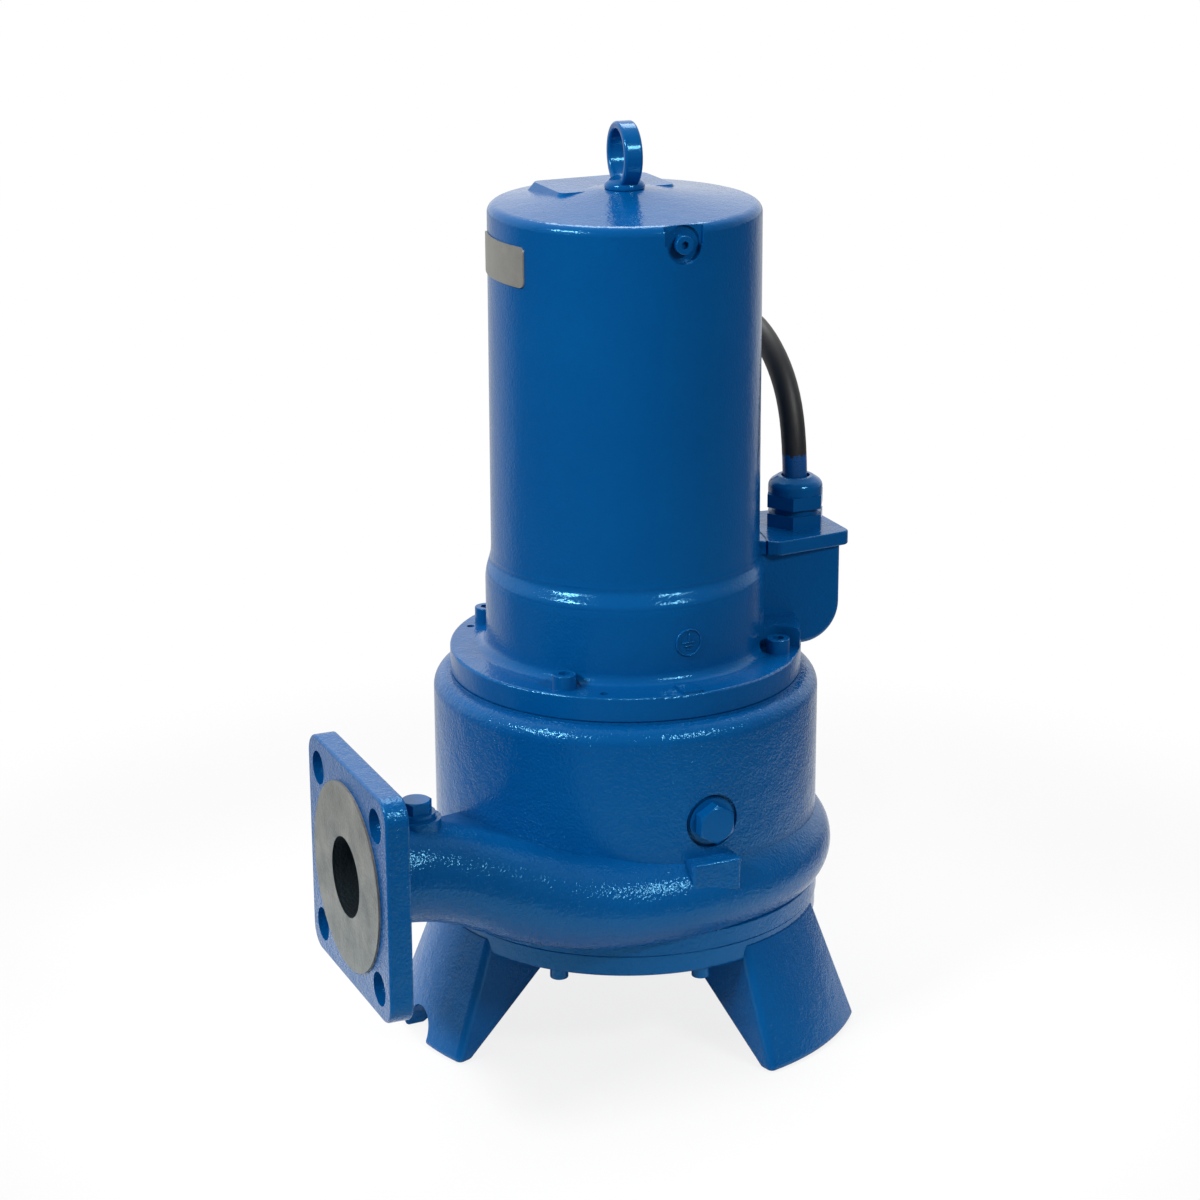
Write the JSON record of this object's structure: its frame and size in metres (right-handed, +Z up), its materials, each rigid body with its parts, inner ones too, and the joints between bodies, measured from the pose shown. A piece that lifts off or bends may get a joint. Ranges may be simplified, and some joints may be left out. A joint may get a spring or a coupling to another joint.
{
  "type": "submersible sewage pump",
  "caption": "Submersible pump in blue cast iron: motor on a spiral casing with a square side flange, legged stand, lifting eye and rubber cable.",
  "frame": {"origin": "on the pump axis, in the plane that the feet stand on", "axes": "+Z up along the pump axis; +X from the axis to the cable box; the discharge leaves towards -X"},
  "size_m": [0.3965, 0.4807, 0.5009],
  "materials": {
    "blue_paint": "thick glossy blue epoxy paint over cast iron",
    "painted_screws": "steel screws painted over with the casting",
    "cast_iron": "bare grey iron casting",
    "stainless_steel": "turned stainless steel",
    "zinc_steel": "forged steel with bright zinc plating",
    "bearing_steel": "ground bearing steel",
    "cage_brass": "pressed brass",
    "seal_rubber": "black nitrile rubber",
    "seal_ceramic": "lapped silicon carbide",
    "lamination_steel": "stacked steel sheets",
    "winding_copper": "varnished copper winding",
    "lead_insulation": "insulated wire",
    "plate_aluminium": "plain aluminium sheet",
    "cable_sheath": "black rubber sheath"
  },
  "bodies": {
    "root": {"pump_casing": "blue_paint", "stand_ring": "blue_paint", "suction_cover": "blue_paint", "motor_housing": "blue_paint", "bearing_bracket": "cast_iron", "cover_seal_ring": "seal_rubber", "housing_seal_ring": "seal_rubber", "shaft_lip_seal": "seal_rubber", "seal_seat_cup": "seal_rubber", "cable_gland_seal": "seal_rubber", "stand_screws": "stainless_steel", "housing_screws": "painted_screws", "bracket_screws": "stainless_steel", "oil_plug": "painted_screws", "vent_plug": "painted_screws", "oil_plug_washer": "painted_screws", "vent_plug_washer": "painted_screws", "motor_test_screw": "painted_screws", "eye_bolt": "zinc_steel", "cable_gland_body": "blue_paint", "cable_gland_nut": "blue_paint", "name_plate": "plate_aluminium", "lower_bearing_outer_race": "bearing_steel", "upper_bearing_outer_race": "bearing_steel", "preload_washer": "stainless_steel", "bearing_circlip": "stainless_steel", "seal_seat": "seal_ceramic", "stator_core": "lamination_steel", "stator_windings": "winding_copper", "winding_leads": "lead_insulation", "power_cable": "cable_sheath", "cable_coil": "cable_sheath", "cable_end_cores": "cable_sheath"},
    "rotor": {"shaft": "stainless_steel", "rotor_core": "lamination_steel", "rotor_end_rings": "plate_aluminium", "lower_bearing_inner_race": "bearing_steel", "upper_bearing_inner_race": "bearing_steel", "shaft_circlip": "stainless_steel", "seal_rotating_ring": "seal_ceramic", "seal_bellows": "seal_rubber", "seal_spring": "stainless_steel", "impeller": "cast_iron", "impeller_key": "stainless_steel", "impeller_washer": "stainless_steel", "impeller_screw": "stainless_steel"},
    "lower_ball_set": {"lower_bearing_balls": "bearing_steel", "lower_bearing_cage": "cage_brass"},
    "upper_ball_set": {"upper_bearing_balls": "bearing_steel", "upper_bearing_cage": "cage_brass"}
  },
  "joints": [
    {"name": "rotor_spin", "type": "hinge", "parent": "root", "child": "rotor", "pos_m": [0, 0, 0.2], "axis": [0, 0, 1], "continuous": true},
    {"name": "lower_ball_set_spin", "type": "hinge", "parent": "root", "child": "lower_ball_set", "pos_m": [0, 0, 0.2077], "axis": [0, 0, 1], "continuous": true},
    {"name": "upper_ball_set_spin", "type": "hinge", "parent": "root", "child": "upper_ball_set", "pos_m": [0, 0, 0.4412], "axis": [0, 0, 1], "continuous": true}
  ],
  "couplings": [
    {"joint": "lower_ball_set_spin", "follows": "rotor_spin", "ratio": 0.36782},
    {"joint": "upper_ball_set_spin", "follows": "rotor_spin", "ratio": 0.38149}
  ]
}
